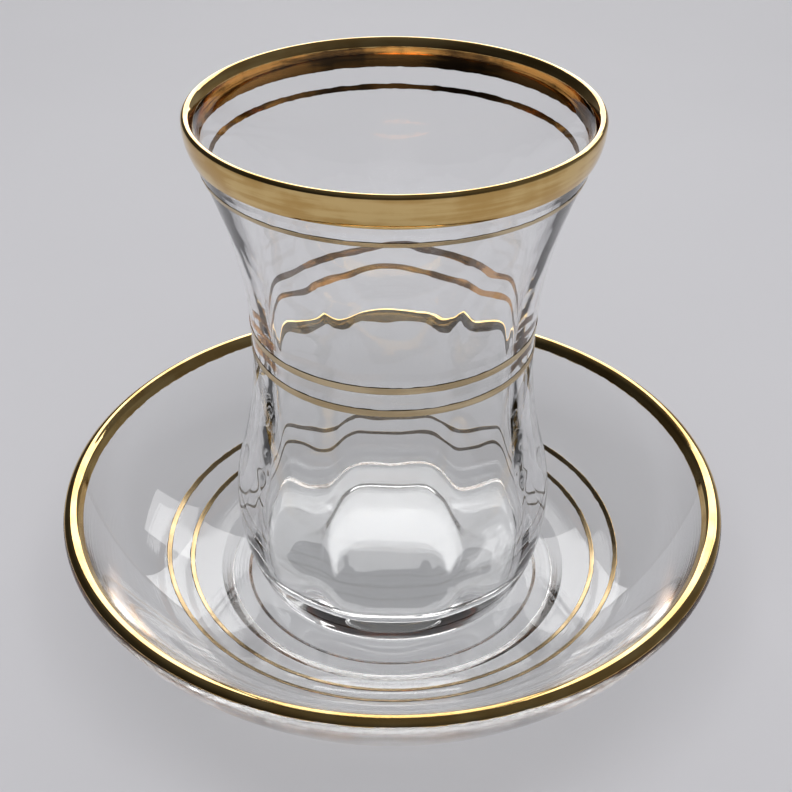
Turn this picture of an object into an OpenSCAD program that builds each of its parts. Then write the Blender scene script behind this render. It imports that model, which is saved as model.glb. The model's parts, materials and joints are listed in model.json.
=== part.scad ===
// Waisted tea glass on its saucer: clear pressed glass with fired gold bands.
// Origin at the middle of the foot ring's underside, +Z up along the common axis.

/* [Glass] */
// Height of the glass
glass_h = 83.5; // [78:0.5:92]
// Outside diameter at the waist
waist_d = 44.3; // [40:0.1:50]
// Height of the waist above the underside of the glass
waist_z = 46; // [42:0.5:50]
// Wall thickness at the waist, measured at a panel's corner
waist_wall = 2.3; // [1.6:0.1:3.2]
// How far the lip stands out beyond the waist
lip_flare = 7.7; // [5.5:0.1:10]
// Thickness of the wall at the lip
lip_t = 1.8; // [1.4:0.1:2.4]
// Radius of the curve that turns the flared wall upright at the lip
lip_curve_r = 9; // [6:0.5:14]
// How far the bulb stands out beyond the waist
bulb_swell = 4.15; // [3:0.05:6]
// Height of the widest point of the bulb
bulb_z = 15.7; // [13:0.1:18]
// Radius of the bulb's outside curve
bulb_curve_r = 33; // [28:0.5:40]
// Wall thickness at the bulb, measured at a panel's corner
bulb_wall = 2.8; // [2:0.1:4]
// Radius of the rounded edge under the bulb
base_edge_r = 4.5; // [3:0.1:6]
// Thickness of the solid base
base_t = 5.4; // [4.5:0.1:9]
// Radius of the rounded corner between the inside wall and the floor
floor_edge_r = 4; // [2.5:0.1:6]
// Depth of the shallow recess under the base
punt_depth = 0.6; // [0.4:0.1:1.4]
// Width of the recess's sloping edge
punt_slope = 1.4; // [1:0.1:4]
// Width of the flat ring that the base stands on
stand_w = 2.8; // [2:0.1:6]

/* [Optic panels] */
// Number of flat panels moulded round the inside
panels = 10; // [8:2:12]
// Height at which the panels run out into the round upper wall
panel_top = 71; // [64:0.5:73]
// Depth of the panels, as a share of the depth at which each would meet the next
panel_share = 0.5; // [0.4:0.05:0.85]

/* [Gold on the glass] */
// Height of the band under the lip
lip_band_h = 4.8; // [3:0.1:6.5]
// How far the band turns down inside the lip
lip_band_inside = 1.3; // [0.9:0.1:2]
// Distance from the top of the glass to the middle of the shoulder line
shoulder_line_drop = 7.6; // [7.2:0.1:10]
// Width of the shoulder line
shoulder_line_w = 0.9; // [0.5:0.1:1.2]
// Width of each waist line
waist_line_w = 1.3; // [0.8:0.1:2]
// Distance between the middles of the two waist lines
waist_line_gap = 3.9; // [2.6:0.1:6]

/* [Saucer] */
// Outside diameter of the saucer
saucer_d = 110; // [100:0.5:125]
// Height of the saucer
saucer_h = 22; // [19:0.5:26]
// Thickness of the rounded rim
rim_t = 2.8; // [2.2:0.1:3.4]
// Thickness of the floor under the glass
floor_t = 2.7; // [2:0.1:3.5]
// Room round the glass on the flat of the floor
seat_clear = 0.5; // [0.2:0.1:2]
// Outside diameter of the foot ring
foot_d = 57; // [50:0.5:64]
// Width of the foot ring
foot_w = 3; // [2.4:0.1:4.5]
// Height of the foot ring
foot_h = 1.6; // [1:0.1:2.2]
// Radius of the foot ring's rounded edges
foot_edge_r = 0.9; // [0.3:0.1:0.9]

/* [Gold on the saucer] */
// How far the rim band reaches in from the edge
rim_band_inside = 3.2; // [2.6:0.1:5]
// How far the rim band turns down outside
rim_band_drop = 0.8; // [0.5:0.1:1]
// Radius of the outer gold ring
outer_ring_r = 38.8; // [38:0.1:44]
// Radius of the inner gold ring
inner_ring_r = 35; // [30:0.1:36]
// Width of each gold ring
ring_w = 1.1; // [0.6:0.1:1.6]

/* [Gold film] */
// Thickness of the fired gold
gold_t = 0.12; // [0.08:0.01:0.3]

/* [Hidden] */

// Facets of every round shape
$fn = 180;
// Overrun of every cut past the face that it opens
cut = 1;
// Overlap that lets one arc of an outline run into the next
ease = 0.001;
// Height by which the panels' curves begin above those of the round wall
panel_lift = 0.1;
// Depth to which the floor cuts off the foot of its rounded corner
floor_dip = 0.2;

glass_color = [0.86, 0.87, 0.9, 0.45];
gold_color = [0.83, 0.64, 0.27];

// Radii and heights of the glass
waist_r = waist_d / 2;
lip_r = waist_r + lip_flare;
bulb_r = waist_r + bulb_swell;
cap_r = lip_t / 2;
cap_z = glass_h - cap_r;
over_top = glass_h + cut;
// Width beyond every outline of the glass
far = 2 * lip_r;

// Sum of the radii of two arcs that turn a wall through a step and leave it upright at both ends
function s_curve(step, rise) = (step * step + rise * rise) / (2 * step);

// Middle and upper end of the rounded edge under the bulb
edge_reach = sqrt(pow(bulb_curve_r - base_edge_r, 2) - pow(bulb_z - base_edge_r, 2));
stand_r = bulb_r - bulb_curve_r + edge_reach + ease;
edge_top = bulb_z - (bulb_z - base_edge_r) * bulb_curve_r / (bulb_curve_r - base_edge_r);

// Radius of the recess under the base
punt_r = stand_r - stand_w;

// Radii of the round inside, which shows between the panels
inner_bulb_r = bulb_r - bulb_wall;
inner_waist_r = waist_r - waist_wall;
inner_lip_r = lip_r - lip_t;
inner_curve_r = bulb_curve_r - bulb_wall;

// Rounded corner at the floor: its middle's height, drop below the bulb and distance in from it, its upper end
floor_edge_z = base_t + floor_edge_r - floor_dip;
floor_edge_drop = bulb_z - floor_edge_z;
floor_edge_reach = inner_curve_r - floor_edge_r;
floor_edge_in = inner_curve_r - sqrt(pow(floor_edge_reach, 2) - pow(floor_edge_drop, 2)) - ease;
floor_edge_top = bulb_z - floor_edge_drop * inner_curve_r / floor_edge_reach;

// Distance of a panel's middle from the axis, as a share of the round inside's radius
panel_in_share = 1 - panel_share * (1 - cos(180 / panels));

// Flare of the round inside, its radius where the panels end, and the flare that brings a panel there
inner_flare_r = s_curve(inner_lip_r - inner_waist_r, cap_z - waist_z) - lip_curve_r + lip_t;
panel_end_r = inner_waist_r + inner_flare_r - sqrt(pow(inner_flare_r, 2) - pow(panel_top - waist_z, 2));
panel_waist_r = inner_waist_r * panel_in_share;
panel_waist_z = waist_z + panel_lift;
panel_flare_r = s_curve(panel_end_r - panel_waist_r, panel_top - panel_waist_z);

// Saucer: a concave inside arc that springs from the seat, a convex outside arc, a round rim
saucer_r = saucer_d / 2;
rim_r = rim_t / 2;
rim_c = [saucer_r - rim_r, saucer_h - rim_r];
floor_z = foot_h + floor_t;
seat_r = stand_r + seat_clear;
foot_r = foot_d / 2;
spring_r = foot_r - foot_w / 2;

// Radius of an arc that leaves a level face at one point and touches the rim from outside or inside
function rim_arc_r(run, rise, touch) = (run * run + rise * rise - touch * touch) / (2 * (rise + touch));

inside_r = rim_arc_r(rim_c[0] - seat_r, rim_c[1] - floor_z, rim_r);
outside_arc_r = rim_arc_r(rim_c[0] - spring_r, rim_c[1] - foot_h, -rim_r);
inside_c = [seat_r, floor_z + inside_r];
outside_c = [spring_r, foot_h + outside_arc_r];
to_inside = (inside_c - rim_c) / norm(inside_c - rim_c);
to_outside = (rim_c - outside_c) / norm(rim_c - outside_c);

// Rectangle in the half plane of a revolved shape
module slab(r0, r1, z0, z1) {
    translate([r0, z0]) square([r1 - r0, z1 - z0]);
}

module disc(c, r) {
    translate(c) circle(r);
}

// Disc that touches an upright line at a point, on its right or, for a negative radius, on its left
module touching(r, z, curve) {
    translate([r, z]) translate([curve, 0]) circle(abs(curve));
}

// Half outline from the bulb to the waist, raised where asked
module bulb_to_waist(bulb, waist, curve, lift = 0) {
    low = bulb_z + lift;
    high = waist_z + lift;
    neck = s_curve(bulb - waist, high - low) - curve + ease;
    handover = low + (high - low) * curve / (curve + neck);
    intersection() {
        slab(0, far, low, high);
        touching(bulb, low, -curve);
    }
    difference() {
        slab(0, far, low, high);
        touching(waist, high, neck);
        slab(-cut, far + cut, low - cut, handover);
    }
}

// Half outline from the waist to the level of the lip
module waist_to_lip(waist, lip, curve) {
    flare = s_curve(lip - waist, cap_z - waist_z) - curve + ease;
    handover = cap_z - (cap_z - waist_z) * curve / (curve + flare);
    difference() {
        slab(0, far, waist_z, cap_z);
        touching(waist, waist_z, flare);
        slab(lip - curve, far + cut, handover, cap_z + cut);
    }
    intersection() {
        slab(0, far, waist_z, cap_z);
        touching(lip, cap_z, -curve);
    }
}

// Half outline of the solid glass above the waist, grown by the gold's thickness where asked
module upper_outside(grow = 0) {
    waist_to_lip(waist_r + grow, lip_r + grow, lip_curve_r + grow);
    slab(0, lip_r - cap_r, cap_z, glass_h + grow);
    touching(lip_r + grow, cap_z, -cap_r - grow);
}

// Half outline of the space above the waist, drawn in by the gold's thickness where asked
module upper_inside(shrink = 0) {
    waist_to_lip(inner_waist_r - shrink, inner_lip_r - shrink, lip_curve_r - lip_t - shrink);
    difference() {
        slab(0, lip_r - cap_r, cap_z, over_top);
        touching(lip_r + shrink, cap_z, -cap_r - shrink);
    }
}

// Half outline of the solid glass below the waist, grown by the gold's thickness where asked
module lower_outside(grow = 0) {
    bulb_to_waist(bulb_r + grow, waist_r + grow, bulb_curve_r + grow);
    difference() {
        intersection() {
            slab(0, far, 0, bulb_z);
            touching(bulb_r + grow, bulb_z, -bulb_curve_r - grow);
        }
        slab(stand_r, far + cut, -cut, edge_top);
    }
    disc([stand_r, base_edge_r], base_edge_r);
}

// Half outline of the shallow recess under the base
module base_recess() {
    polygon([[0, -cut], [punt_r, -cut], [punt_r, 0], [punt_r - punt_slope, punt_depth], [0, punt_depth]]);
}

// Half outline of the space below the waist, drawn in and raised for the panels where asked
module lower_inside(low, in_share = 1, lift = 0) {
    bulb = inner_bulb_r * in_share;
    middle = bulb_z + lift;
    edge = bulb - floor_edge_in;
    bulb_to_waist(bulb, inner_waist_r * in_share, inner_curve_r, lift);
    intersection() {
        slab(0, far, floor_edge_top + lift, middle);
        touching(bulb, middle, -inner_curve_r);
    }
    intersection() {
        slab(0, far, low, middle);
        union() {
            slab(0, edge, low - cut, middle);
            disc([edge, floor_edge_z + lift], floor_edge_r);
        }
    }
}

// Half outline of the space between two opposite panels, which opens past the round wall at the top
module panel_half() {
    lower_inside(base_t - cut, panel_in_share, panel_lift);
    difference() {
        slab(0, far, panel_waist_z, panel_top + cut);
        touching(panel_waist_r, panel_waist_z, panel_flare_r);
    }
    slab(0, far, panel_top + cut, over_top + cut);
}

// The space between one panel and the panel facing it
module panel_pair(i) {
    rotate([0, 0, 360 / panels * (i + 1 / 2)])
        rotate([90, 0, 0])
            linear_extrude(height = 2 * far, center = true) {
                panel_half();
                mirror([1, 0]) panel_half();
            }
}

// The inside: a round bowl, narrowed by one pair of panels after another
module optic_inside(pairs) {
    if (pairs == 0)
        rotate_extrude() {
            lower_inside(base_t);
            upper_inside();
        }
    else
        intersection() {
            optic_inside(pairs - 1);
            panel_pair(pairs - 1);
        }
}

// Gold film on the outside of the glass between two heights
module outside_line(z, w) {
    rotate_extrude()
        intersection() {
            difference() {
                union() {
                    lower_outside(gold_t);
                    upper_outside(gold_t);
                }
                lower_outside();
                upper_outside();
            }
            slab(0, far, z - w / 2, z + w / 2);
        }
}

module tea_glass() {
    color(glass_color)
        translate([0, 0, floor_z])
            difference() {
                rotate_extrude()
                    difference() {
                        union() {
                            lower_outside();
                            upper_outside();
                        }
                        base_recess();
                    }
                optic_inside(panels / 2);
            }
}

module glass_rim_band() {
    color(gold_color)
        translate([0, 0, floor_z])
            rotate_extrude()
                intersection() {
                    difference() {
                        upper_outside(gold_t);
                        upper_inside(gold_t);
                        difference() {
                            upper_outside();
                            upper_inside();
                        }
                    }
                    union() {
                        slab(lip_r - cap_r, far, glass_h - lip_band_h, over_top);
                        slab(0, far, glass_h - lip_band_inside, over_top);
                    }
                }
}

module glass_shoulder_line() {
    color(gold_color)
        translate([0, 0, floor_z])
            outside_line(glass_h - shoulder_line_drop, shoulder_line_w);
}

module glass_upper_waist_line() {
    color(gold_color)
        translate([0, 0, floor_z])
            outside_line(waist_z + waist_line_gap, waist_line_w);
}

module glass_lower_waist_line() {
    color(gold_color)
        translate([0, 0, floor_z])
            outside_line(waist_z, waist_line_w);
}

// Everything beyond the two lines on which the saucer's arcs touch its round rim
module above_rim() {
    reach = 2 * rim_t;
    up = [to_inside[1], -to_inside[0]];
    polygon([
        rim_c,
        rim_c + reach * to_inside,
        rim_c + reach * (to_inside + up),
        rim_c + reach * (to_outside + up),
        rim_c + reach * to_outside,
    ]);
}

// Half outline of the space in the bowl, drawn in by the gold's thickness where asked
module bowl_space(shrink = 0) {
    slab(0, seat_r, floor_z + shrink, saucer_h + cut);
    intersection() {
        slab(seat_r, saucer_r + cut, floor_z, saucer_h + cut);
        disc(inside_c, inside_r - shrink);
    }
}

// Half outline of the saucer's bowl and rim, grown on both sides by the gold's thickness where asked
module bowl_wall(grow = 0) {
    difference() {
        union() {
            slab(0, spring_r, foot_h, saucer_h);
            intersection() {
                slab(spring_r, saucer_r + cut, foot_h - grow, saucer_h);
                disc(outside_c, outside_arc_r + grow);
            }
        }
        bowl_space(grow);
        above_rim();
    }
    intersection() {
        disc(rim_c, rim_r + grow);
        above_rim();
    }
}

// Half outline of the ring that the saucer stands on
module foot_ring() {
    inner = foot_r - foot_w;
    slab(inner, foot_r, foot_edge_r, foot_h);
    slab(inner + foot_edge_r, foot_r - foot_edge_r, 0, foot_edge_r);
    intersection() {
        slab(inner, inner + foot_edge_r, 0, foot_edge_r);
        disc([inner + foot_edge_r, foot_edge_r], foot_edge_r);
    }
    intersection() {
        slab(foot_r - foot_edge_r, foot_r, 0, foot_edge_r);
        disc([foot_r - foot_edge_r, foot_edge_r], foot_edge_r);
    }
}

// Gold film on the inside of the bowl round one radius
module inside_ring(r) {
    rotate_extrude()
        intersection() {
            difference() {
                bowl_space();
                bowl_space(gold_t);
            }
            slab(r - ring_w / 2, r + ring_w / 2, floor_z, saucer_h);
        }
}

module saucer() {
    color(glass_color)
        rotate_extrude() {
            bowl_wall();
            difference() {
                slab(foot_r - foot_w, foot_r, foot_h, foot_h + floor_t);
                bowl_space();
            }
            foot_ring();
        }
}

module saucer_rim_band() {
    color(gold_color)
        rotate_extrude()
            intersection() {
                difference() {
                    bowl_wall(gold_t);
                    bowl_wall();
                }
                union() {
                    slab(saucer_r - rim_band_inside, rim_c[0], rim_c[1] - rim_t, saucer_h + cut);
                    slab(rim_c[0], saucer_r + cut, saucer_h - rim_band_drop, saucer_h + cut);
                }
                union() {
                    bowl_space();
                    above_rim();
                }
            }
}

module saucer_outer_ring() {
    color(gold_color) inside_ring(outer_ring_r);
}

module saucer_inner_ring() {
    color(gold_color) inside_ring(inner_ring_r);
}

saucer();
saucer_rim_band();
saucer_outer_ring();
saucer_inner_ring();
tea_glass();
glass_rim_band();
glass_shoulder_line();
glass_upper_waist_line();
glass_lower_waist_line();
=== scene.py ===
"""Waisted tea glass on its saucer: clear pressed glass with fired gold bands, in a plain studio.

Every piece is a turned form. Its half outline is worked out in millimetres from the object's own arcs, and
one node tree turns it round the axis, drawing the inside of the glass in to ten flat panels on the way.
"""

import json
import logging
import math
from dataclasses import dataclass
from enum import Enum

import bpy
from mathutils import Euler, Matrix, Vector

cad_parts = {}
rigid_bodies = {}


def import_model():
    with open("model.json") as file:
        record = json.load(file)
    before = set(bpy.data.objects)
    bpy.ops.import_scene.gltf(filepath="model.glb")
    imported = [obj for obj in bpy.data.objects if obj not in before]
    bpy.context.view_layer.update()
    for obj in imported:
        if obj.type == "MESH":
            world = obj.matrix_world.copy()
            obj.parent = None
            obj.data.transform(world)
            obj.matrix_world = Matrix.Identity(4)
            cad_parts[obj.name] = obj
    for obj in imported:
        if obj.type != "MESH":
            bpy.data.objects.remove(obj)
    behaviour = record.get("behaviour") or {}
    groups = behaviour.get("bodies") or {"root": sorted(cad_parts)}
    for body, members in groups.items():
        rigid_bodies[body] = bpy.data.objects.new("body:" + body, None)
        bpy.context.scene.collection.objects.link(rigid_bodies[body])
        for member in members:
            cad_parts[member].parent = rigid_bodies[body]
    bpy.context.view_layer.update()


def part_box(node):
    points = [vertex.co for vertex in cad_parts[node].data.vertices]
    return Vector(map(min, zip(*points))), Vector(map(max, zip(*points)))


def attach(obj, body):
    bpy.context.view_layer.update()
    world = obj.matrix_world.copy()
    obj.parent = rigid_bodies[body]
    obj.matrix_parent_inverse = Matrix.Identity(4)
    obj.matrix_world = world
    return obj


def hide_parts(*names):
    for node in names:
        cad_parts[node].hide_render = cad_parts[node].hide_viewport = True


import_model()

LOG = logging.getLogger("tea_glass")
MM = 0.001
SMALL_ARC_STEPS = 6
# Panels this far from the axis, in millimetres, leave a wall round.
NO_PANEL = 1000.0

Point = tuple[float, float]
Span = tuple[float, float]
Colour = tuple[float, float, float]
Socket = bpy.types.NodeSocket
Value = float | Socket


class Body(Enum):
    """The bodies that the pieces ride on."""

    SAUCER = "saucer"
    GLASS = "glass"


class Slot(Enum):
    """The record's material slots."""

    CLEAR_GLASS = "clear_glass"
    FIRED_GOLD = "fired_gold"


class Wiring:
    """Adds nodes to one node tree and links them."""

    # The mix node's colour sockets share their names with others, so they go by number.
    MIXED_COLOURS = slice(6, 8)
    MIX_RESULT = 2

    def __init__(self, tree: bpy.types.NodeTree) -> None:
        """Takes the tree that the nodes go into."""
        self.tree = tree

    def feed(self, socket: Socket, value: object) -> None:
        """Links a socket to another, or sets its plain value.

        Args:
            socket: The input to feed.
            value: An output socket, or a value that suits the input.
        """
        if isinstance(value, bpy.types.NodeSocket):
            self.tree.links.new(value, socket)
        else:
            socket.default_value = value

    def fill(self, node: bpy.types.Node, inputs: dict[str, object]) -> None:
        """Feeds a node's inputs by name."""
        for name, value in inputs.items():
            self.feed(node.inputs[name], value)

    def in_order(self, node: bpy.types.Node, *values: object) -> Socket:
        """Feeds a node's inputs in order and gives its first output."""
        for socket, value in zip(node.inputs, values):
            self.feed(socket, value)
        return node.outputs[0]

    def add(self, kind: str, settings: dict[str, object] | None = None, **inputs: object) -> bpy.types.Node:
        """Adds a node.

        Args:
            kind: The node's type.
            settings: Values of the node's own properties.
            inputs: What feeds its inputs, by name with underscores for spaces.

        Returns:
            The new node.
        """
        node = self.tree.nodes.new(kind)
        for name, value in (settings or {}).items():
            setattr(node, name, value)
        self.fill(node, {name.replace("_", " "): value for name, value in inputs.items()})
        return node

    def math(self, operation: str, *values: Value) -> Socket:
        """Adds a math node with its inputs in order."""
        return self.in_order(self.add("ShaderNodeMath", {"operation": operation}), *values)

    def whole(self, operation: str, *values: int | Socket) -> Socket:
        """Adds a math node for whole numbers."""
        return self.in_order(self.add("FunctionNodeIntegerMath", {"operation": operation}), *values)

    def spread(self, value: Value, low: Value, high: Value, to_low: float, to_high: float) -> Socket:
        """Maps a value from one range to another, smoothly and within the new range."""
        node = self.add("ShaderNodeMapRange", {"interpolation_type": "SMOOTHSTEP"})
        return self.in_order(node, value, low, high, to_low, to_high)

    def noise(self, spot: Socket, scale: Value, detail: float) -> Socket:
        """Adds a noise texture and gives its value."""
        return self.add("ShaderNodeTexNoise", Vector=spot, Scale=scale, Detail=detail).outputs[0]

    def blend(self, share: Socket, first: Colour, last: Colour) -> Socket:
        """Mixes two colours, by the share of the last one."""
        node = self.add("ShaderNodeMix", {"data_type": "RGBA"}, Factor=share)
        for socket, colour in zip(node.inputs[self.MIXED_COLOURS], (first, last)):
            socket.default_value = (*colour, 1)
        return node.outputs[self.MIX_RESULT]


@dataclass(frozen=True)
class OutlinePoint:
    """A point of a half outline, in millimetres from the axis and above the frame's floor."""

    r: float
    z: float
    flat: float = NO_PANEL
    under: bool = False
    uneven: float = 0.0
    edge: float = 1.0


def steps(start: float, end: float, pitch: float) -> list[float]:
    """Divides a stretch evenly.

    Args:
        start: Where it starts.
        end: Where it ends.
        pitch: The longest step.

    Returns:
        Every value from start to end, both included.
    """
    count = max(1, math.ceil(abs(end - start) / pitch))
    return [start + (end - start) * i / count for i in range(count + 1)]


def arc(centre: Point, radius: float, start: float, end: float, pitch: float) -> list[Point]:
    """Points along an arc.

    Args:
        centre: The arc's centre.
        radius: Its radius.
        start: Its first angle, in radians.
        end: Its last angle.
        pitch: The longest step along it.

    Returns:
        The points, both ends included.
    """
    angles = steps(start, end, pitch / radius)
    return [(centre[0] + radius * math.cos(a), centre[1] + radius * math.sin(a)) for a in angles]


def rounded(corners: list[tuple[float, float, float]], pitch: float) -> list[Point]:
    """A line through corners, each of them rounded.

    Args:
        corners: Place and radius of each corner.
        pitch: The longest step round a corner.

    Returns:
        The line's points.
    """
    line: list[Point] = []
    for i, (r, z, radius) in enumerate(corners):
        here = Vector((r, z))
        if radius == 0 or i in (0, len(corners) - 1):
            line.append((r, z))
            continue
        back = (Vector(corners[i - 1][:2]) - here).normalized()
        on = (Vector(corners[i + 1][:2]) - here).normalized()
        half = back.angle(on) / 2
        centre = here + (back + on).normalized() * radius / math.sin(half)
        first = here + back * radius / math.tan(half) - centre
        last = here + on * radius / math.tan(half) - centre
        turn = first.angle_signed(last)
        start = math.atan2(first.y, first.x)
        line += arc((centre.x, centre.y), radius, start, start - turn, pitch)
    return line


def bend(curve: float, along: float) -> float:
    """How far an arc has left its tangent after a distance along it."""
    return curve - math.sqrt(curve * curve - along * along)


@dataclass(frozen=True)
class SCurve:
    """A wall that steps from one radius to another in two arcs, upright at both ends."""

    low: Point
    high: Point
    low_curve: float

    @staticmethod
    def sum_of_radii(step: float, rise: float) -> float:
        """Sum of the two arcs' radii."""
        return (step * step + rise * rise) / (2 * step)

    def radius(self, z: float) -> float:
        """Distance from the axis at a height."""
        rise = self.high[1] - self.low[1]
        step = abs(self.high[0] - self.low[0])
        side = math.copysign(1, self.high[0] - self.low[0])
        total = self.sum_of_radii(step, rise)
        if z < self.low[1] + rise * self.low_curve / total:
            return self.low[0] + side * bend(self.low_curve, z - self.low[1])
        return self.high[0] - side * bend(total - self.low_curve, self.high[1] - z)


@dataclass(frozen=True)
class GoldFilm:
    """Fired gold on glass: a film that thins out at its edges and sits a little in the surface."""

    thickness: float = 0.115
    sunk: float = 0.03
    taper: float = 0.16
    steps_in_taper: int = 4

    @property
    def step(self) -> float:
        """The longest step along a stretch that the film follows."""
        return self.taper / self.steps_in_taper

    def outline(self, path: list[Point]) -> list[OutlinePoint]:
        """Closed outline of the film along a stretch of the glass's own outline.

        Args:
            path: The stretch, with the glass on its left.

        Returns:
            The loop's points, the last one on the first.
        """
        places = [Vector(p) for p in path]
        along = [0.0]
        for a, b in zip(places, places[1:]):
            along.append(along[-1] + (b - a).length)
        outer: list[OutlinePoint] = []
        inner: list[OutlinePoint] = []
        for i, place in enumerate(places):
            way = (places[min(i + 1, len(places) - 1)] - places[max(i - 1, 0)]).normalized()
            out = Vector((way.y, -way.x))
            edge = min(along[i], along[-1] - along[i])
            full = min(1.0, edge / self.taper)
            top = place + out * self.thickness * math.sin(full * math.pi / 2)
            bottom = place - out * self.sunk
            outer.append(OutlinePoint(top.x, top.y, edge=edge))
            inner.append(OutlinePoint(bottom.x, bottom.y, under=True, edge=edge))
        return [*outer, *reversed(inner), outer[0]]


class Lathe:
    """The node tree that turns a half outline round the axis."""

    NAME = "turned_form"
    MERGE = 0.0005 * MM
    SHARP = math.radians(40)
    UNDER_SHARE = 0.75
    WAVES_PER_METRE = 130.0
    WAVES_GIRTH = 20 * MM
    FEWEST_PANELS = 3

    def __init__(self) -> None:
        """Builds the tree."""
        self.tree = bpy.data.node_groups.new(self.NAME, "GeometryNodeTree")
        self.wire = Wiring(self.tree)
        face = self.tree.interface
        face.new_socket("Geometry", in_out="INPUT", socket_type="NodeSocketGeometry")
        face.new_socket("Geometry", in_out="OUTPUT", socket_type="NodeSocketGeometry")
        kinds = {
            "Segments": "NodeSocketInt",
            "Panels": "NodeSocketInt",
            "Corner Softness": "NodeSocketFloat",
            "Unevenness": "NodeSocketFloat",
            "Finish": "NodeSocketMaterial",
            "Under Finish": "NodeSocketMaterial",
        }
        sockets = {
            name: face.new_socket(name, in_out="INPUT", socket_type=kind) for name, kind in kinds.items()
        }
        sockets["Panels"].default_value = self.FEWEST_PANELS
        sockets["Panels"].min_value = self.FEWEST_PANELS
        self.ids = {name: socket.identifier for name, socket in sockets.items()}
        self.given = self.wire.add("NodeGroupInput").outputs
        self._finish(self._shape())

    def _sample(self, kind: str, value: Socket, row: Socket) -> Socket:
        """Reads a field of the outline, of the given type, at one of its points."""
        node = self.wire.add("GeometryNodeSampleIndex", {"data_type": kind, "domain": "POINT"})
        self.wire.fill(node, {"Geometry": self.given["Geometry"], "Value": value, "Index": row})
        return node.outputs[0]

    def _named(self, name: str, row: Socket) -> Socket:
        """Reads one of the outline's own values at one of its points."""
        node = self.wire.add("GeometryNodeInputNamedAttribute", {"data_type": "FLOAT"}, Name=name)
        return self._sample("FLOAT", node.outputs["Attribute"], row)

    def _around(self, radius: Value, angle: Socket, height: Socket) -> Socket:
        """A place at a distance from the axis, in a direction and at a height."""
        w = self.wire
        spot = w.add(
            "ShaderNodeCombineXYZ",
            X=w.math("MULTIPLY", radius, w.math("COSINE", angle)),
            Y=w.math("MULTIPLY", radius, w.math("SINE", angle)),
            Z=height,
        )
        return spot.outputs[0]

    def _shape(self) -> Socket:
        """Makes the surface: a grid whose rows follow the outline and whose columns go round the axis.

        Returns:
            The surface's socket.
        """
        w = self.wire
        size = w.add("GeometryNodeAttributeDomainSize", {"component": "MESH"})
        w.feed(size.inputs[0], self.given["Geometry"])
        rows = size.outputs["Point Count"]
        columns = w.whole("ADD", self.given["Segments"], 1)
        grid = w.add("GeometryNodeMeshGrid", Vertices_X=columns, Vertices_Y=rows)
        index = w.add("GeometryNodeInputIndex").outputs[0]
        row = w.whole("MODULO", index, rows)
        column = w.whole("DIVIDE", index, rows)
        turn = w.math("DIVIDE", column, self.given["Segments"])
        angle = w.math("MULTIPLY", turn, 2 * math.pi)
        place = self._sample("FLOAT_VECTOR", w.add("GeometryNodeInputPosition").outputs[0], row)
        apart = w.add("ShaderNodeSeparateXYZ", Vector=place).outputs
        radius = self._panelled(apart["X"], self._named("flat", row), turn)
        radius = w.math("ADD", radius, self._waves(angle, apart["Z"], self._named("uneven", row)))
        spot = self._around(radius, angle, apart["Z"])
        marked = w.add("GeometryNodeSetPosition", Geometry=grid.outputs["Mesh"], Position=spot).outputs[0]
        for name in ("under", "edge"):
            marked = w.add(
                "GeometryNodeStoreNamedAttribute",
                {"data_type": "FLOAT", "domain": "POINT"},
                Geometry=marked,
                Name=name,
                Value=self._named(name, row),
            ).outputs[0]
        merged = w.add("GeometryNodeMergeByDistance", Geometry=marked, Distance=self.MERGE)
        return merged.outputs[0]

    def _panelled(self, radius: Socket, flat: Socket, turn: Socket) -> Socket:
        """Draws a radius in to the nearest panel.

        Args:
            radius: Radius of the round wall.
            flat: Distance of the panels from the axis.
            turn: Share of a whole turn.

        Returns:
            The radius that shows.
        """
        w = self.wire
        part = w.math("FRACT", w.math("MULTIPLY", turn, self.given["Panels"]))
        pitch = w.math("DIVIDE", 2 * math.pi, self.given["Panels"])
        aside = w.math("MULTIPLY", w.math("SUBTRACT", part, 0.5), pitch)
        reach = w.math("DIVIDE", flat, w.math("COSINE", aside))
        soft = w.math("MULTIPLY", radius, self.given["Corner Softness"])
        return w.math("SMOOTH_MIN", radius, reach, soft)

    def _waves(self, angle: Socket, height: Socket, share: Socket) -> Socket:
        """The slight unevenness that pressing leaves in the wall.

        Args:
            angle: Angle round the axis.
            height: Height along the axis.
            share: How much of the unevenness a point takes.

        Returns:
            The change of radius.
        """
        w = self.wire
        noise = w.noise(self._around(self.WAVES_GIRTH, angle, height), self.WAVES_PER_METRE, detail=1.0)
        swing = w.math("SUBTRACT", noise, 0.5)
        return w.math("MULTIPLY", w.math("MULTIPLY", swing, share), self.given["Unevenness"])

    def _finish(self, surface: Socket) -> None:
        """Smooths the surface, keeps its sharp edges and gives it its finishes.

        Args:
            surface: The surface's socket.
        """
        w = self.wire
        smooth = w.add("GeometryNodeSetShadeSmooth", {"domain": "FACE"}, Geometry=surface)
        bent = w.add("GeometryNodeInputMeshEdgeAngle").outputs["Unsigned Angle"]
        edged = w.add(
            "GeometryNodeSetShadeSmooth",
            {"domain": "EDGE"},
            Geometry=smooth.outputs[0],
            Selection=w.math("GREATER_THAN", bent, self.SHARP),
            Shade_Smooth=False,
        )
        real = w.add("GeometryNodeRealizeInstances", Geometry=edged.outputs[0])
        dressed = w.add("GeometryNodeSetMaterial", Geometry=real.outputs[0], Material=self.given["Finish"])
        under = w.add("GeometryNodeInputNamedAttribute", {"data_type": "FLOAT"}, Name="under")
        backed = w.add(
            "GeometryNodeSetMaterial",
            Geometry=dressed.outputs[0],
            Selection=w.math("GREATER_THAN", under.outputs["Attribute"], self.UNDER_SHARE),
            Material=self.given["Under Finish"],
        )
        w.add("NodeGroupOutput", Geometry=backed.outputs[0])

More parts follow.
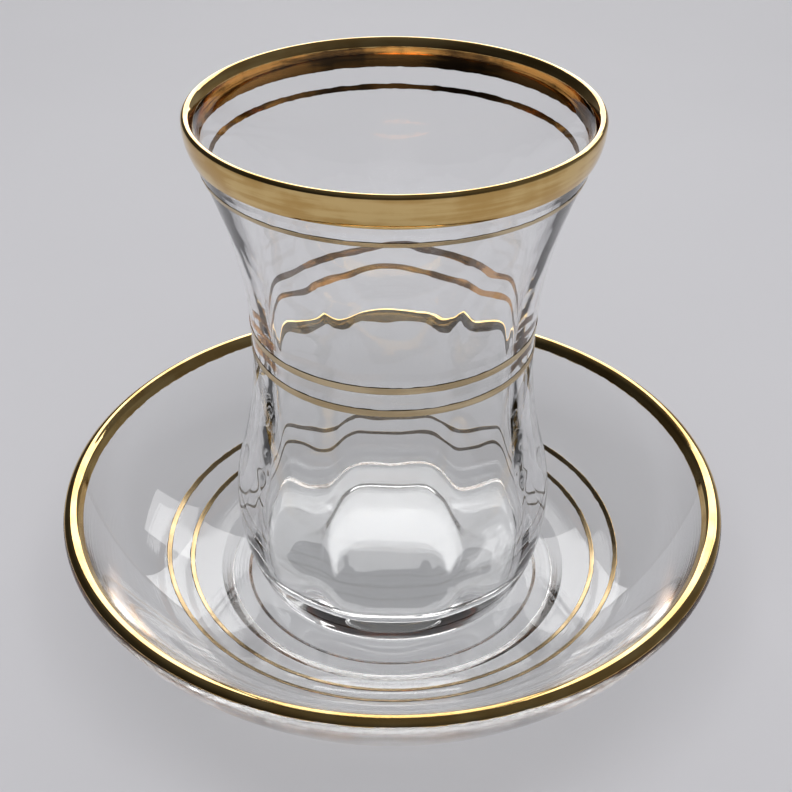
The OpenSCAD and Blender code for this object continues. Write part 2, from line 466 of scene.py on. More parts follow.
    def turn(self, name: str, outline: list[OutlinePoint], **inputs: object) -> bpy.types.Object:
        """Turns an outline into a plain mesh object.

        Args:
            name: The piece's name.
            outline: The half outline, with the solid on its left.
            inputs: Values of the tree's inputs, by name with underscores for spaces.

        Returns:
            The piece, at the origin.
        """
        line = bpy.data.meshes.new(name + "_outline")
        places = [(p.r * MM, 0, p.z * MM) for p in outline]
        line.from_pydata(places, [(i, i + 1) for i in range(len(outline) - 1)], [])
        values = {
            "flat": [p.flat * MM for p in outline],
            "under": [float(p.under) for p in outline],
            "uneven": [p.uneven for p in outline],
            "edge": [p.edge for p in outline],
        }
        for key, numbers in values.items():
            line.attributes.new(key, "FLOAT", "POINT").data.foreach_set("value", numbers)
        piece = bpy.data.objects.new(name, line)
        bpy.context.scene.collection.objects.link(piece)
        modifier = piece.modifiers.new("turn", "NODES")
        modifier.node_group = self.tree
        for key, value in inputs.items():
            modifier[self.ids[key.replace("_", " ")]] = value
        depsgraph = bpy.context.evaluated_depsgraph_get()
        mesh = bpy.data.meshes.new_from_object(piece.evaluated_get(depsgraph))
        piece.modifiers.remove(modifier)
        piece.data = mesh
        mesh.name = name
        bpy.data.meshes.remove(line)
        return piece


class Effects:
    """Shader groups that more than one finish uses, each built once."""

    SMUDGE_SPAN = (0.5, 0.75)
    BRUSH_STRETCH = (1, 1, 16)
    BRUSH_SCALE = 90.0
    BRUSH_SWING = 5.0
    FLECK_SCALE = 620.0
    PATCH_SCALE = 60.0
    PATCH_SHARE = 0.45
    WEAR_LIMIT = 1.12
    FRAY_SCALE = 480.0
    FRAY_SPAN = (0.35, 0.7)

    def __init__(self) -> None:
        """Builds the groups."""
        self.ripple = self._ripple()
        self.firing = self._firing()

    @staticmethod
    def _group(name: str, inputs: list[str], outputs: list[str]) -> tuple[bpy.types.NodeTree, Wiring]:
        """Makes an empty group whose sockets are plain numbers.

        Args:
            name: The group's name.
            inputs: Names of its inputs.
            outputs: Names of its outputs.

        Returns:
            The group, and what adds nodes to it.
        """
        tree = bpy.data.node_groups.new(name, "ShaderNodeTree")
        for in_out, keys in (("INPUT", inputs), ("OUTPUT", outputs)):
            for key in keys:
                tree.interface.new_socket(key, in_out=in_out, socket_type="NodeSocketFloat")
        return tree, Wiring(tree)

    def _ripple(self) -> bpy.types.NodeTree:
        """Slow ripples of pressed glass, and the smudges on it."""
        tree, w = self._group("pressed_ripple", ["Ripple Scale", "Smudge Scale"], ["Height", "Smudge"])
        given = w.add("NodeGroupInput").outputs
        spot = w.add("ShaderNodeTexCoord").outputs["Object"]
        smudge = w.noise(spot, given["Smudge Scale"], detail=6.0)
        w.add(
            "NodeGroupOutput",
            Height=w.noise(spot, given["Ripple Scale"], detail=2.0),
            Smudge=w.spread(smudge, *self.SMUDGE_SPAN, 0, 1),
        )
        return tree

    def _firing(self) -> bpy.types.NodeTree:
        """Cloudy tone, fine brush marks, small worn spots and frayed edges of fired gold. On the back of the
        gold the cloudy tone is painted reflection.
        """
        taken = ["Wear", "Fray", "Cloud Scale", "Cloud Rise", "Cloud Edge"]
        tree, w = self._group("fired_gold_marks", taken, ["Tone", "Grain", "Whole"])
        given = w.add("NodeGroupInput").outputs
        spot = w.add("ShaderNodeTexCoord").outputs["Object"]
        rise = w.add("ShaderNodeCombineXYZ", X=1.0, Y=1.0, Z=given["Cloud Rise"]).outputs[0]
        raised = w.add("ShaderNodeMapping", Vector=spot, Scale=rise).outputs[0]
        cloud = w.noise(raised, given["Cloud Scale"], detail=4.0)
        drawn = w.add("ShaderNodeMapping", Vector=spot, Scale=self.BRUSH_STRETCH).outputs[0]
        brush = w.noise(drawn, self.BRUSH_SCALE, detail=4.0)
        edge = given["Cloud Edge"]
        swing = w.math("MULTIPLY", edge, self.BRUSH_SWING)
        streaked = w.math("ADD", cloud, w.math("MULTIPLY", w.math("SUBTRACT", brush, 0.5), swing))
        fleck = w.noise(spot, self.FLECK_SCALE, detail=3.0)
        patch = w.noise(spot, self.PATCH_SCALE, detail=1.0)
        worn = w.math("ADD", fleck, w.math("MULTIPLY", patch, self.PATCH_SHARE))
        kept = w.math("LESS_THAN", worn, w.math("SUBTRACT", self.WEAR_LIMIT, given["Wear"]))
        fray = w.spread(w.noise(spot, self.FRAY_SCALE, detail=3.0), *self.FRAY_SPAN, 0, 1)
        from_edge = w.add("ShaderNodeAttribute", {"attribute_name": "edge"}).outputs["Fac"]
        inside = w.math("GREATER_THAN", from_edge, w.math("MULTIPLY", fray, given["Fray"]))
        low, high = w.math("SUBTRACT", 0.5, edge), w.math("ADD", 0.5, edge)
        w.add(
            "NodeGroupOutput",
            Tone=w.spread(streaked, low, high, 0, 1),
            Grain=brush,
            Whole=w.math("MULTIPLY", kept, inside),
        )
        return tree


def surface_of(name: str) -> tuple[bpy.types.Material, Wiring, bpy.types.Node]:
    """Makes a material with one shader.

    Args:
        name: The material's name.

    Returns:
        The material, what adds nodes to it, and its shader.
    """
    material = bpy.data.materials.new(name)
    material.use_nodes = True
    nodes = material.node_tree.nodes
    return material, Wiring(material.node_tree), nodes["Principled BSDF"]


@dataclass(frozen=True)
class PressedGlass:
    """Clear pressed glass, slightly uneven, with faint smudges and, where it is turned, fine rings."""

    name: str
    tint: Colour
    ripple: float
    ripple_scale: float
    smudge: float = 0.03
    smudge_scale: float = 45.0
    shade: float = 0.95
    ior: float = 1.51
    turned: float = 0.0
    turned_scale: float = 2600.0
    turned_depth: float = 0.1
    turned_foot: Span = (0.4, 1.6)
    turned_wall: float = 0.15

    def material(self, effects: Effects) -> bpy.types.Material:
        """Builds the finish.

        Args:
            effects: The shared groups.

        Returns:
            The material.
        """
        material, w, shader = surface_of(self.name)
        marks = w.add(
            "ShaderNodeGroup",
            {"node_tree": effects.ripple},
            Ripple_Scale=self.ripple_scale,
            Smudge_Scale=self.smudge_scale,
        ).outputs
        bump = w.add("ShaderNodeBump", Strength=self.ripple, Distance=MM, Height=marks["Height"]).outputs[0]
        w.fill(shader, {
            "Base Color": (*self.tint, 1),
            "Transmission Weight": 1.0,
            "IOR": self.ior,
            "Roughness": w.math("MULTIPLY", marks["Smudge"], self.smudge),
            "Normal": self._turning(w, bump) if self.turned else bump,
        })
        rays = w.add("ShaderNodeLightPath").outputs
        clear = w.add("ShaderNodeBsdfTransparent", Color=(*(self.shade * c for c in self.tint), 1))
        lit = w.math("MAXIMUM", rays["Is Shadow Ray"], rays["Is Diffuse Ray"])
        mixed = w.in_order(w.add("ShaderNodeMixShader"), lit, shader.outputs[0], clear.outputs[0])
        w.feed(material.node_tree.nodes["Material Output"].inputs["Surface"], mixed)
        return material

    def _turning(self, w: Wiring, normal: Socket) -> Socket:
        """Fine rings that the turned mould leaves in the glass, deepest on the foot.

        Args:
            w: What adds nodes to the material.
            normal: The normal without the rings.

        Returns:
            The normal with them.
        """
        spot = w.add("ShaderNodeTexCoord").outputs["Object"]
        apart = w.add("ShaderNodeSeparateXYZ", Vector=spot).outputs
        squares = [w.math("MULTIPLY", apart[key], apart[key]) for key in "XY"]
        from_axis = w.math("SQRT", w.math("ADD", *squares))
        section = w.add("ShaderNodeCombineXYZ", X=from_axis, Y=apart["Z"], Z=0.0).outputs[0]
        rings = w.noise(section, self.turned_scale, detail=2.0)
        low, high = (z * MM for z in self.turned_foot)
        height = w.math("MULTIPLY", rings, w.spread(apart["Z"], low, high, 1, self.turned_wall))
        depth = self.turned_depth * MM
        bump = w.add("ShaderNodeBump", Strength=self.turned, Distance=depth, Height=height, Normal=normal)
        return bump.outputs[0]


@dataclass(frozen=True)
class FiredGold:
    """Bright gold fired on glass, with cloudy tone, brush marks, worn spots and frayed edges. On the back of
    the gold the cloudy tone is painted reflection.
    """

    name: str
    bright: Colour
    dull: Colour
    smooth: float
    rough: float
    wear: float
    cloud_scale: float = 170.0
    cloud_rise: float = 1.0
    cloud_edge: float = 0.2
    fray: float = 0.14
    grain: float = 0.08
    grain_depth: float = 0.05
    grain_span: Span = (0.3, 0.7)

    def material(self, effects: Effects) -> bpy.types.Material:
        """Builds the finish.

        Args:
            effects: The shared groups.

        Returns:
            The material.
        """
        material, w, shader = surface_of(self.name)
        marks = w.add(
            "ShaderNodeGroup",
            {"node_tree": effects.firing},
            Wear=self.wear,
            Fray=self.fray,
            Cloud_Scale=self.cloud_scale,
            Cloud_Rise=self.cloud_rise,
            Cloud_Edge=self.cloud_edge,
        ).outputs
        depth = self.grain_depth * MM
        bump = w.add("ShaderNodeBump", Strength=self.grain, Distance=depth, Height=marks["Grain"])
        w.fill(shader, {
            "Metallic": 1.0,
            "Base Color": w.blend(marks["Tone"], self.bright, self.dull),
            "Roughness": w.spread(marks["Grain"], *self.grain_span, self.smooth, self.rough),
            "Alpha": marks["Whole"],
            "Normal": bump.outputs[0],
        })
        return material


class Workshop:
    """The lathe, the gold film and the finishes that both sub-assemblies use."""

    FILM = GoldFilm()
    FILM_SEGMENTS = 288

    GLASS = PressedGlass("glass_body", (0.988, 0.99, 0.99), ripple=0.10, ripple_scale=70.0)
    SAUCER = PressedGlass("saucer_body", (0.98, 0.984, 0.982), ripple=0.05, ripple_scale=45.0)
    UNDER = PressedGlass("saucer_outside", (0.98, 0.984, 0.982), ripple=0.05, ripple_scale=45.0, turned=1.0)
    BAND = FiredGold("gold_band", (0.74, 0.53, 0.23), (0.58, 0.37, 0.13), smooth=0.03, rough=0.10, wear=0.03)
    LINE = FiredGold("gold_line", (0.64, 0.52, 0.33), (0.50, 0.39, 0.23), smooth=0.10, rough=0.26, wear=0.04)
    # The saucer's rings: the line gold made darker, painted shade of the dark room that the rings reflect.
    RING_PAINTED_SHADE = FiredGold("gold_ring_painted_shade", (0.50, 0.37, 0.21), (0.38, 0.27, 0.14), smooth=0.10, rough=0.26, wear=0.04)
    # The back of the gold, seen through the glass: dark brown with amber patches stretched upright, painted
    # reflections of the room.
    BACK_PAINTED_REFLECTIONS = FiredGold(
        "gold_back_painted_reflections", (0.85, 0.42, 0.11), (0.16, 0.085, 0.03), smooth=0.03, rough=0.08, wear=0.02,
        cloud_scale=75.0, cloud_rise=0.1, cloud_edge=0.08,
    )

    def __init__(self) -> None:
        """Builds the lathe and every finish."""
        self.lathe = Lathe()
        effects = Effects()
        finishes = (self.GLASS, self.SAUCER, self.UNDER, self.BAND, self.LINE, self.RING_PAINTED_SHADE, self.BACK_PAINTED_REFLECTIONS)
        self.materials = {finish.name: finish.material(effects) for finish in finishes}

    def glass(
        self,
        name: str,
        outline: list[OutlinePoint],
        finishes: tuple[PressedGlass, PressedGlass],
        body: Body,
        **inputs: object,
    ) -> None:
        """Turns and dresses a glass piece that stands for the solid of the same name.

        Args:
            name: The piece's name without its ending.
            outline: Its half outline.
            finishes: Its glass, and the glass of its under points.
            body: What it rides on.
            inputs: Further values for the lathe.
        """
        skin, under = (self.materials[finish.name] for finish in finishes)
        piece = self.lathe.turn(name + "_form", outline, Finish=skin, Under_Finish=under, **inputs)
        self._settle(piece, name, body, Slot.CLEAR_GLASS)

    def gold(self, name: str, path: list[Point], finish: FiredGold, body: Body) -> None:
        """Turns and dresses a gold band that stands for the solid of the same name.

        Args:
            name: The piece's name without its ending.
            path: The stretch of glass under it, with the glass on its left.
            finish: Its gold, on the side away from the glass.
            body: What it rides on.
        """
        piece = self.lathe.turn(
            name + "_form",
            self.FILM.outline(path),
            Segments=self.FILM_SEGMENTS,
            Finish=self.materials[finish.name],
            Under_Finish=self.materials[self.BACK_PAINTED_REFLECTIONS.name],
        )
        self._settle(piece, name, body, Slot.FIRED_GOLD)

    @staticmethod
    def _settle(piece: bpy.types.Object, node: str, body: Body, slot: Slot) -> None:
        """Puts a piece on its body in place of its solid, and logs it."""
        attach(piece, body.value)
        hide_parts(node)
        LOG.info("%s on %s: %d faces", piece.name, body.value, len(piece.data.polygons))


@dataclass
class TeaGlass:
    """The waisted glass, in millimetres above its own underside."""

    SEGMENTS = 360
    FLOOR_STEP = 0.1

    waist_r: float = 22.15
    waist_z: float = 46.0
    waist_wall: float = 2.3
    lip_t: float = 1.8
    crest_r: float = 0.5
    crest_turn: float = math.radians(140)
    bevel_h: float = 2.2
    lip_curve_r: float = 9.0
    bulb_r: float = 26.3
    bulb_z: float = 15.7
    bulb_curve_r: float = 33.0
    bulb_wall: float = 2.8
    base_edge_r: float = 4.5
    base_t: float = 5.4
    floor_edge_r: float = 4.0
    punt_depth: float = 0.6
    punt_slope: float = 1.4
    stand_w: float = 2.8
    stand_lift: float = 0.03
    stand_round: float = 0.8
    dome_r: float = 13.0
    dome_h: float = 0.5
    panels: int = 10
    panel_top: float = 71.0
    panel_share: float = 0.5
    corner_softness: float = 0.03
    unevenness: float = 0.10
    uneven_over: float = 4.0
    uneven_fade: float = 12.0
    lip_band_h: float = 4.8
    lip_band_inside: float = 1.3
    shoulder_line_drop: float = 7.6
    shoulder_line_w: float = 0.9
    waist_line_w: float = 1.3
    waist_line_gap: float = 3.9
    pitch: float = 0.75
    corner_pitch: float = 0.375
    dome_pitch: float = 1.0
    lip_pitch: float = 0.25
    lip_stretch: float = 1.0

    def __post_init__(self) -> None:
        """Takes height, lip and seat from the frame and works out the walls."""
        low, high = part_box("tea_glass")
        self.seat_z = low.z / MM
        self.height = (high.z - low.z) / MM
        self.lip_r = high.x / MM
        self.cap_z = self.height - self.lip_t / 2
        self.crest_in_r = self.lip_r - self.crest_r * (1 - math.cos(self.crest_turn))
        self.crest_in_z = self.height - self.crest_r * (1 - math.sin(self.crest_turn))
        inner_waist = self.waist_r - self.waist_wall
        inner_bulb = self.bulb_r - self.bulb_wall
        inner_curve = self.bulb_curve_r - self.bulb_wall
        self.out_low = SCurve((self.bulb_r, self.bulb_z), (self.waist_r, self.waist_z), self.bulb_curve_r)
        self.out_high = self._flare(self.waist_r, self.lip_r, self.lip_curve_r)
        self.in_low = SCurve((inner_bulb, self.bulb_z), (inner_waist, self.waist_z), inner_curve)
        self.in_high = self._flare(inner_waist, self.lip_r - self.lip_t, self.lip_curve_r - self.lip_t)
        draw_in = 1 - self.panel_share * (1 - math.cos(math.pi / self.panels))
        low_panel = (inner_bulb * draw_in, self.bulb_z)
        high_panel = (inner_waist * draw_in, self.waist_z)
        self.panel_low = SCurve(low_panel, high_panel, inner_curve)
        rise = self.panel_top - self.waist_z
        self.panel_flare = SCurve.sum_of_radii(self.in_high.radius(self.panel_top) - high_panel[0], rise)
        self.floor_edge_z = self.base_t + self.floor_edge_r
        reach = self.bulb_curve_r - self.base_edge_r
        drop = self.bulb_z - self.base_edge_r
        self.edge_r = self.bulb_r - self.bulb_curve_r + math.sqrt(reach * reach - drop * drop)
        self.edge_angle = -math.asin(drop / reach)

    def _flare(self, waist: float, lip: float, lip_curve: float) -> SCurve:
        """A wall from the waist to the lip, turned upright there by an arc of the given radius."""
        total = SCurve.sum_of_radii(lip - waist, self.cap_z - self.waist_z)
        return SCurve((waist, self.waist_z), (lip, self.cap_z), total - lip_curve)

    def outside(self, z: float) -> float:
        """Outer radius above the bulb's rounded edge."""
        if z < self.bulb_z:
            return self.bulb_r - bend(self.bulb_curve_r, self.bulb_z - z)
        return (self.out_low if z < self.waist_z else self.out_high).radius(z)

    def inside(self, z: float) -> float:
        """Radius of the round inside."""
        if z < self.bulb_z:
            return self._to_floor(self.in_low.low[0], z)
        if z < self.waist_z:
            return self.in_low.radius(z)
        wall = self.in_high.radius(min(z, self.cap_z))
        share = max(0.0, 1 - (self.crest_in_z - z) / self.bevel_h)
        return wall + (self.crest_in_r - wall) * share * share

    def panel(self, z: float) -> float:
        """Distance of the panels from the axis."""
        if z < self.bulb_z:
            return self._to_floor(self.panel_low.low[0], z)
        if z < self.waist_z:
            return self.panel_low.radius(z)
        return self.panel_low.high[0] + bend(self.panel_flare, z - self.waist_z)

    def _to_floor(self, bulb: float, z: float) -> float:
        """Radius below the bulb, where the wall runs round into the floor.

        Args:
            bulb: Radius at the bulb.
            z: The height.

        Returns:
            The radius.
        """
        curve = self.in_low.low_curve
        drop = self.bulb_z - self.floor_edge_z
        reach = curve - self.floor_edge_r
        if z > self.bulb_z - drop * curve / reach:
            return bulb - bend(curve, self.bulb_z - z)
        middle = bulb - curve + math.sqrt(reach * reach - drop * drop)
        return middle + math.sqrt(max(0, self.floor_edge_r**2 - (self.floor_edge_z - z) ** 2))

    def dome(self, r: float) -> float:
        """Rise of the recess's slight dome at a distance from the axis."""
        return self.dome_h * (0.5 + 0.5 * math.cos(math.pi * r / self.dome_r))

    def raised(self, points: list[Point]) -> list[Point]:
        """Moves points from the glass's own heights to the frame's."""
        return [(r, z + self.seat_z) for r, z in points]

    def outer_path(self, low: float, high: float, pitch: float) -> list[Point]:
        """The outside between two heights."""
        return [(self.outside(z), z) for z in steps(low, high, pitch)]

    def lip_path(self, pitch: float) -> list[Point]:
        """The round top of the lip, from outside to inside."""
        middle = (self.lip_r - self.crest_r, self.height - self.crest_r)
        return arc(middle, self.crest_r, 0, self.crest_turn, pitch)

    def underside(self) -> list[Point]:
        """The slightly domed recess, the ring that the glass stands on and the rounded edge."""
        recess = self.edge_r - self.stand_w
        corners = [
            *((r, self.punt_depth + self.dome(r), 0) for r in steps(0, self.dome_r, self.dome_pitch)),
            (recess - self.punt_slope, self.punt_depth, 2 * self.stand_round),
            (recess, self.stand_lift, self.stand_round),
            (self.edge_r, self.stand_lift, 0),
        ]
        middle = (self.edge_r, self.base_edge_r)
        edge = arc(middle, self.base_edge_r, -math.pi / 2, self.edge_angle, self.pitch)
        return rounded(corners, self.corner_pitch)[:-1] + edge[1:]

    def outline(self) -> list[OutlinePoint]:
        """The whole glass: underside, outside, lip, inside and floor.

        Returns:
            The half outline.
        """
        below = self.underside()
        skin = below + self.outer_path(below[-1][1], self.cap_z, self.pitch)[1:]
        skin += self.lip_path(self.crest_r / SMALL_ARC_STEPS)[:-1]
        points = [OutlinePoint(r, z) for r, z in self.raised(skin)]
        under_lip = self.cap_z - self.lip_stretch
        levels = steps(self.crest_in_z, under_lip, self.lip_pitch)[:-1]
        levels += steps(under_lip, self.floor_edge_z, self.pitch)
        turns = steps(0, math.pi / 2, self.pitch / self.floor_edge_r)[1:]
        levels += [self.floor_edge_z - self.floor_edge_r * math.sin(a) for a in turns]
        for z in levels:
            share = min(1.0, max(0.0, (self.panel_top + self.uneven_over - z) / self.uneven_fade))
            points.append(OutlinePoint(self.inside(z), z + self.seat_z, self.panel(z), uneven=share))
        rim = points[-1]
        for share in steps(1, 0, self.FLOOR_STEP)[1:]:
            points.append(OutlinePoint(rim.r * share, rim.z, rim.flat * share, uneven=share))
        return points

    def band_path(self, pitch: float) -> list[Point]:
        """The stretch of the lip that is gold, from outside to inside."""
        within = steps(self.crest_in_z, self.height - self.lip_band_inside, pitch)[1:]
        band = self.outer_path(self.height - self.lip_band_h, self.cap_z, pitch) + self.lip_path(pitch)
        return band + [(self.inside(z), z) for z in within]

    def build(self, shop: Workshop) -> None:
        """Makes the glass and its gold.

        Args:
            shop: The lathe and the finishes.
        """
        shop.glass(
            "tea_glass",
            self.outline(),
            (shop.GLASS, shop.GLASS),
            Body.GLASS,
            Segments=self.SEGMENTS,
            Panels=self.panels,
            Corner_Softness=self.corner_softness,
            Unevenness=self.unevenness * MM,
        )
        fine = shop.FILM.step
        shop.gold("glass_rim_band", self.raised(self.band_path(fine)), shop.BAND, Body.GLASS)
        lines = {
            "glass_shoulder_line": (self.height - self.shoulder_line_drop, self.shoulder_line_w),
            "glass_upper_waist_line": (self.waist_z + self.waist_line_gap, self.waist_line_w),
            "glass_lower_waist_line": (self.waist_z, self.waist_line_w),
        }
        for name, (middle, width) in lines.items():
            path = self.outer_path(middle - width / 2, middle + width / 2, fine)
            shop.gold(name, self.raised(path), shop.LINE, Body.GLASS)


@dataclass
class Saucer:
    """The round saucer, in millimetres above the ring that it stands on."""

    SEGMENTS = 288
    SEAT_STEP = 0.2

    glass: TeaGlass
    rim_t: float = 2.8
    seat_clear: float = 0.5
    foot_r: float = 28.5
    foot_w: float = 3.0
    foot_h: float = 1.6
    foot_splay: float = 2.2
    foot_edge_r: float = 0.5
    foot_fillet: float = 0.35
    turned_margin: float = 0.1
    rim_band_inside: float = 3.2
    rim_band_drop: float = 0.6
    outer_ring_r: float = 38.8
    inner_ring_r: float = 35.0
    ring_w: float = 0.9
    pitch: float = 0.8

    def __post_init__(self) -> None:
        """Takes radius and height from the frame, the seat from the glass, and works out the bowl."""
        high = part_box("saucer")[1]
        self.radius = high.x / MM
        self.height = high.z / MM
        self.floor_z = self.glass.seat_z
        self.seat_r = self.glass.edge_r + self.seat_clear
        self.rim_r = self.rim_t / 2
        self.rim = (self.radius - self.rim_r, self.height - self.rim_r)
        spring = self.foot_r - self.foot_w / 2
        self.inside_r = self._arc_radius(self.rim[0] - self.seat_r, self.rim[1] - self.floor_z, self.rim_r)
        self.outside_r = self._arc_radius(self.rim[0] - spring, self.rim[1] - self.foot_h, -self.rim_r)
        self.inside_c = (self.seat_r, self.floor_z + self.inside_r)
        self.outside_c = (spring, self.foot_h + self.outside_r)
        self.in_angle = self._bearing(self.inside_c, self.rim)
        self.out_angle = self._bearing(self.outside_c, self.rim)

    @staticmethod
    def _arc_radius(run: float, rise: float, touch: float) -> float:
        """Radius of an arc that leaves the level and touches the rim from inside, or outside if negative."""
        return (run * run + rise * rise - touch * touch) / (2 * (rise + touch))

    @staticmethod
    def _bearing(start: Point, end: Point) -> float:
        """Direction from one point to another."""
        return math.atan2(end[1] - start[1], end[0] - start[0])

    def inner_path(self, start: float, end: float, pitch: float) -> list[Point]:
        """The inside of the bowl between two angles of its arc."""
        return arc(self.inside_c, self.inside_r, start, end, pitch)

    def inner_angle(self, r: float) -> float:
        """Angle of the inside's arc at a radius."""
        return -math.acos((r - self.inside_c[0]) / self.inside_r)

    def rim_path(self, pitch: float) -> list[Point]:
        """The stretch of the rim that is gold, from outside to inside."""
        start = math.asin((self.height - self.rim_band_drop - self.rim[1]) / self.rim_r)
        over = arc(self.rim, self.rim_r, start, self.in_angle + math.pi, pitch)
        edge = self.inner_angle(self.radius - self.rim_band_inside)
        return over + self.inner_path(self.in_angle, edge, pitch)[1:]

    def ring_path(self, r: float, pitch: float) -> list[Point]:
        """The stretch of the bowl under one gold ring, from outside to inside."""
        half = self.ring_w / 2
        return self.inner_path(self.inner_angle(r + half), self.inner_angle(r - half), pitch)

    def outline(self) -> list[OutlinePoint]:
        """The whole saucer: underside, foot ring, outside, rim, inside and seat.

        Returns:
            The half outline.
        """
        start = -math.acos((self.foot_r + self.foot_splay - self.outside_c[0]) / self.outside_r)
        wall = arc(self.outside_c, self.outside_r, start, self.out_angle, self.pitch)
        inner = self.foot_r - self.foot_w
        foot = [
            (0, self.foot_h, 0),
            (inner, self.foot_h, self.foot_fillet),
            (inner, 0, self.foot_edge_r),
            (self.foot_r, 0, self.foot_edge_r),
            (*wall[0], self.foot_fillet),
            (*wall[1], 0),
        ]
        below = rounded(foot, self.foot_edge_r / SMALL_ARC_STEPS) + wall[2:]
        fine = self.rim_r / SMALL_ARC_STEPS
        above = arc(self.rim, self.rim_r, self.out_angle, self.in_angle + math.pi, fine)[1:]
        above += self.inner_path(self.in_angle, -math.pi / 2, self.pitch)[1:]
        above += [(self.seat_r * share, self.floor_z) for share in steps(1, 0, self.SEAT_STEP)[1:]]
        turned_from = inner - self.foot_fillet - self.turned_margin
        points = [OutlinePoint(r, z, under=r > turned_from) for r, z in below]
        return points + [OutlinePoint(r, z) for r, z in above]

    def build(self, shop: Workshop) -> None:
        """Makes the saucer and its gold.

        Args:
            shop: The lathe and the finishes.
        """
        shop.glass("saucer", self.outline(), (shop.SAUCER, shop.UNDER), Body.SAUCER, Segments=self.SEGMENTS)
        fine = shop.FILM.step
        shop.gold("saucer_rim_band", self.rim_path(fine), shop.BAND, Body.SAUCER)
        shop.gold("saucer_outer_ring", self.ring_path(self.outer_ring_r, fine), shop.RING_PAINTED_SHADE, Body.SAUCER)
        shop.gold("saucer_inner_ring", self.ring_path(self.inner_ring_r, fine), shop.RING_PAINTED_SHADE, Body.SAUCER)


@dataclass(frozen=True)
class Softbox:
    """A soft rectangular lamp that faces the object, with angles in degrees and lengths in metres."""

    name: str
    azimuth: float
    elevation: float
    distance: float
    width: float
    height: float
    radiance: float
    mirrored: bool = True
    roll: float = 0.0

    def place(self, target: Vector) -> None:
        """Sets the lamp up to face a target."""
        lamp = bpy.data.lights.new(self.name, "AREA")
        lamp.shape = "RECTANGLE"
        lamp.size = self.width
        lamp.size_y = self.height
        lamp.energy = self.radiance * math.pi * self.width * self.height
        side, up = math.radians(self.azimuth), math.radians(self.elevation)
        flat = math.cos(up)
        way = Vector((flat * math.sin(side), flat * math.cos(side), math.sin(up)))
        box = bpy.data.objects.new(self.name, lamp)
        box.location = target + way * self.distance
        rolled = Matrix.Rotation(math.radians(self.roll), 3, "Z")
        box.rotation_euler = (way.to_track_quat("Z", "Y").to_matrix() @ rolled).to_euler()
        box.visible_glossy = self.mirrored
        box.visible_transmission = self.mirrored
        bpy.context.scene.collection.objects.link(box)


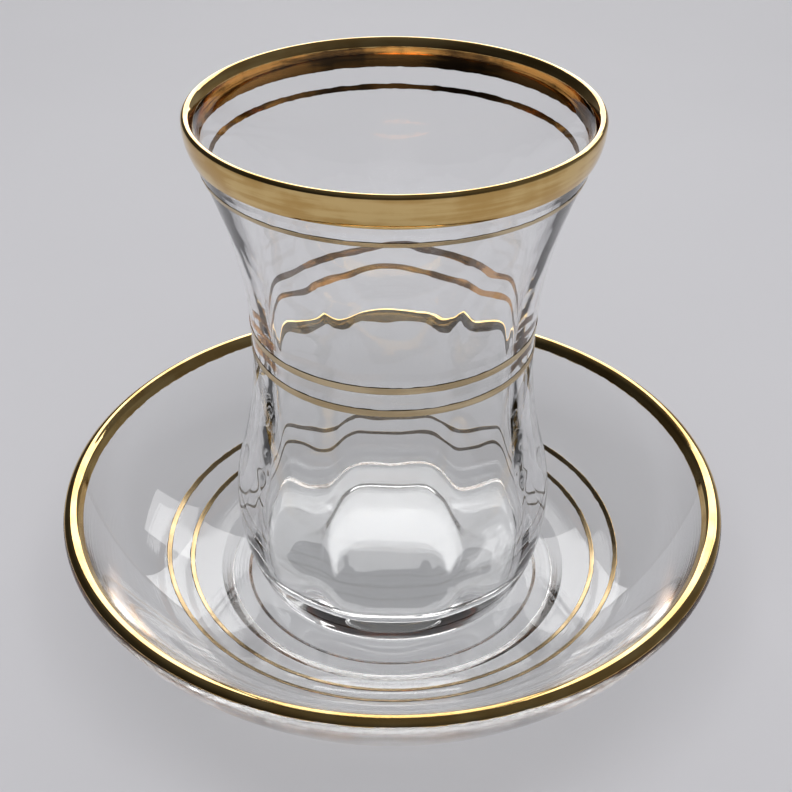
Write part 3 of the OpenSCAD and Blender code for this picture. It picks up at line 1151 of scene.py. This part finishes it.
@dataclass
class Studio:
    """Pale floor, soft lamps and the camera.

    The floor's size and the radii of its painted shade are in metres, other lengths in millimetres.
    """

    floor_size: float = 12.0
    floor_gap: float = 0.2
    floor_colour: Colour = (0.62, 0.615, 0.645)
    floor_rough: float = 0.75
    floor_shine: float = 0.2
    cloud_scale: float = 6.0
    cloud_span: Span = (0.2, 0.8)
    cloud_tones: Span = (0.98, 1.02)
    # Painted shade on the floor: full colour out to the first radius, darkened to the given share beyond the
    # second.
    painted_shade_start_r: float = 0.1
    painted_shade_end_r: float = 0.5
    painted_shade_share: float = 0.9
    low_sky: float = 0.25
    high_sky: float = 0.12
    high_sky_z: float = 0.45
    left_side: float = 0.2
    left_span: Span = (-0.8, 0.1)
    front_side: float = 0.45
    front_span: Span = (-0.9, -0.1)
    lamp_aim_z: float = 30.0
    lens: float = 57.09
    sensor: float = 36.0
    camera_place: tuple[float, float, float] = (0.474, -169.18, 153.75)
    camera_near: float = 5.0
    pitch_down: float = 0.599
    roll: float = 0.006
    bounces: int = 24
    lamps: tuple[Softbox, ...] = (
        Softbox("window_light", 1, 21.5, distance=4.0, width=2.98, height=3.16, radiance=3.2),
        Softbox("window_side", 32.6, 30.5, distance=5.2, width=1.38, height=1.38, radiance=3.2, roll=45),
        Softbox("top_light", 180, 66, distance=2.6, width=2.9, height=2.9, radiance=2.4, mirrored=False),
    )

    def build(self) -> None:
        """Sets up floor, light and camera."""
        self._floor()
        for lamp in self.lamps:
            lamp.place(Vector((0, 0, self.lamp_aim_z * MM)))
        self._sky()
        self._camera()
        scene = bpy.context.scene
        scene.view_settings.view_transform = "Standard"
        scene.cycles.max_bounces = self.bounces
        scene.cycles.transmission_bounces = self.bounces
        scene.cycles.glossy_bounces = self.bounces

    def _floor(self) -> bpy.types.Object:
        """A wide pale table top with faint cloudiness, its colour darkened away from the object as painted
        shade.
        """
        half = self.floor_size / 2
        z = -self.floor_gap * MM
        corners = [(-half, -half, z), (half, -half, z), (half, half, z), (-half, half, z)]
        mesh = bpy.data.meshes.new("studio_floor")
        mesh.from_pydata(corners, [], [(0, 1, 2, 3)])
        floor = bpy.data.objects.new("studio_floor", mesh)
        bpy.context.scene.collection.objects.link(floor)
        material, w, shader = surface_of("pale_table")
        spot = w.add("ShaderNodeTexCoord").outputs["Object"]
        away = w.add("ShaderNodeVectorMath", {"operation": "LENGTH"})
        w.feed(away.inputs[0], spot)
        # Painted shade: the floor's colour falls off away from the object, as if its light did.
        floor_painted_shade = w.spread(away.outputs["Value"], self.painted_shade_start_r, self.painted_shade_end_r, 1, self.painted_shade_share)
        cloud = w.spread(w.noise(spot, self.cloud_scale, detail=3.0), *self.cloud_span, *self.cloud_tones)
        level = w.math("MULTIPLY", floor_painted_shade, cloud)
        w.fill(shader, {
            "Base Color": w.blend(level, (0, 0, 0), self.floor_colour),
            "Roughness": self.floor_rough,
            "Specular IOR Level": self.floor_shine,
        })
        mesh.materials.append(material)
        return floor

    def _sky(self) -> None:
        """A plain room, pale at the level of the table, darker above, to the left and in front."""
        world = bpy.data.worlds.new("plain_room")
        bpy.context.scene.world = world
        world.use_nodes = True
        w = Wiring(world.node_tree)
        way = w.add("ShaderNodeTexCoord").outputs["Generated"]
        apart = w.add("ShaderNodeSeparateXYZ", Vector=way).outputs
        shade = w.spread(apart["Z"], 0.0, self.high_sky_z, self.low_sky, self.high_sky)
        side = w.spread(apart["X"], *self.left_span, self.left_side, 1)
        front = w.spread(apart["Y"], *self.front_span, self.front_side, 1)
        shade = w.math("MULTIPLY", shade, w.math("MULTIPLY", side, front))
        w.feed(world.node_tree.nodes["Background"].inputs["Color"], shade)

    def _camera(self) -> None:
        """A camera at the photograph's angle."""
        data = bpy.data.cameras.new("camera")
        data.lens = self.lens
        data.sensor_width = self.sensor
        data.sensor_fit = "HORIZONTAL"
        data.clip_start = self.camera_near * MM
        camera = bpy.data.objects.new("camera", data)
        tilt = Euler((math.pi / 2 - self.pitch_down, 0, 0)).to_matrix()
        turn = tilt @ Matrix.Rotation(self.roll, 3, "Z")
        camera.matrix_world = Matrix.Translation(Vector(self.camera_place) * MM) @ turn.to_4x4()
        bpy.context.scene.collection.objects.link(camera)
        bpy.context.scene.camera = camera


def main() -> None:
    """Builds the studio, the glass and the saucer."""
    logging.basicConfig(level=logging.INFO, format="%(name)s: %(message)s")
    Studio().build()
    shop = Workshop()
    glass = TeaGlass()
    glass.build(shop)
    Saucer(glass).build(shop)


if __name__ == "__main__":
    main()
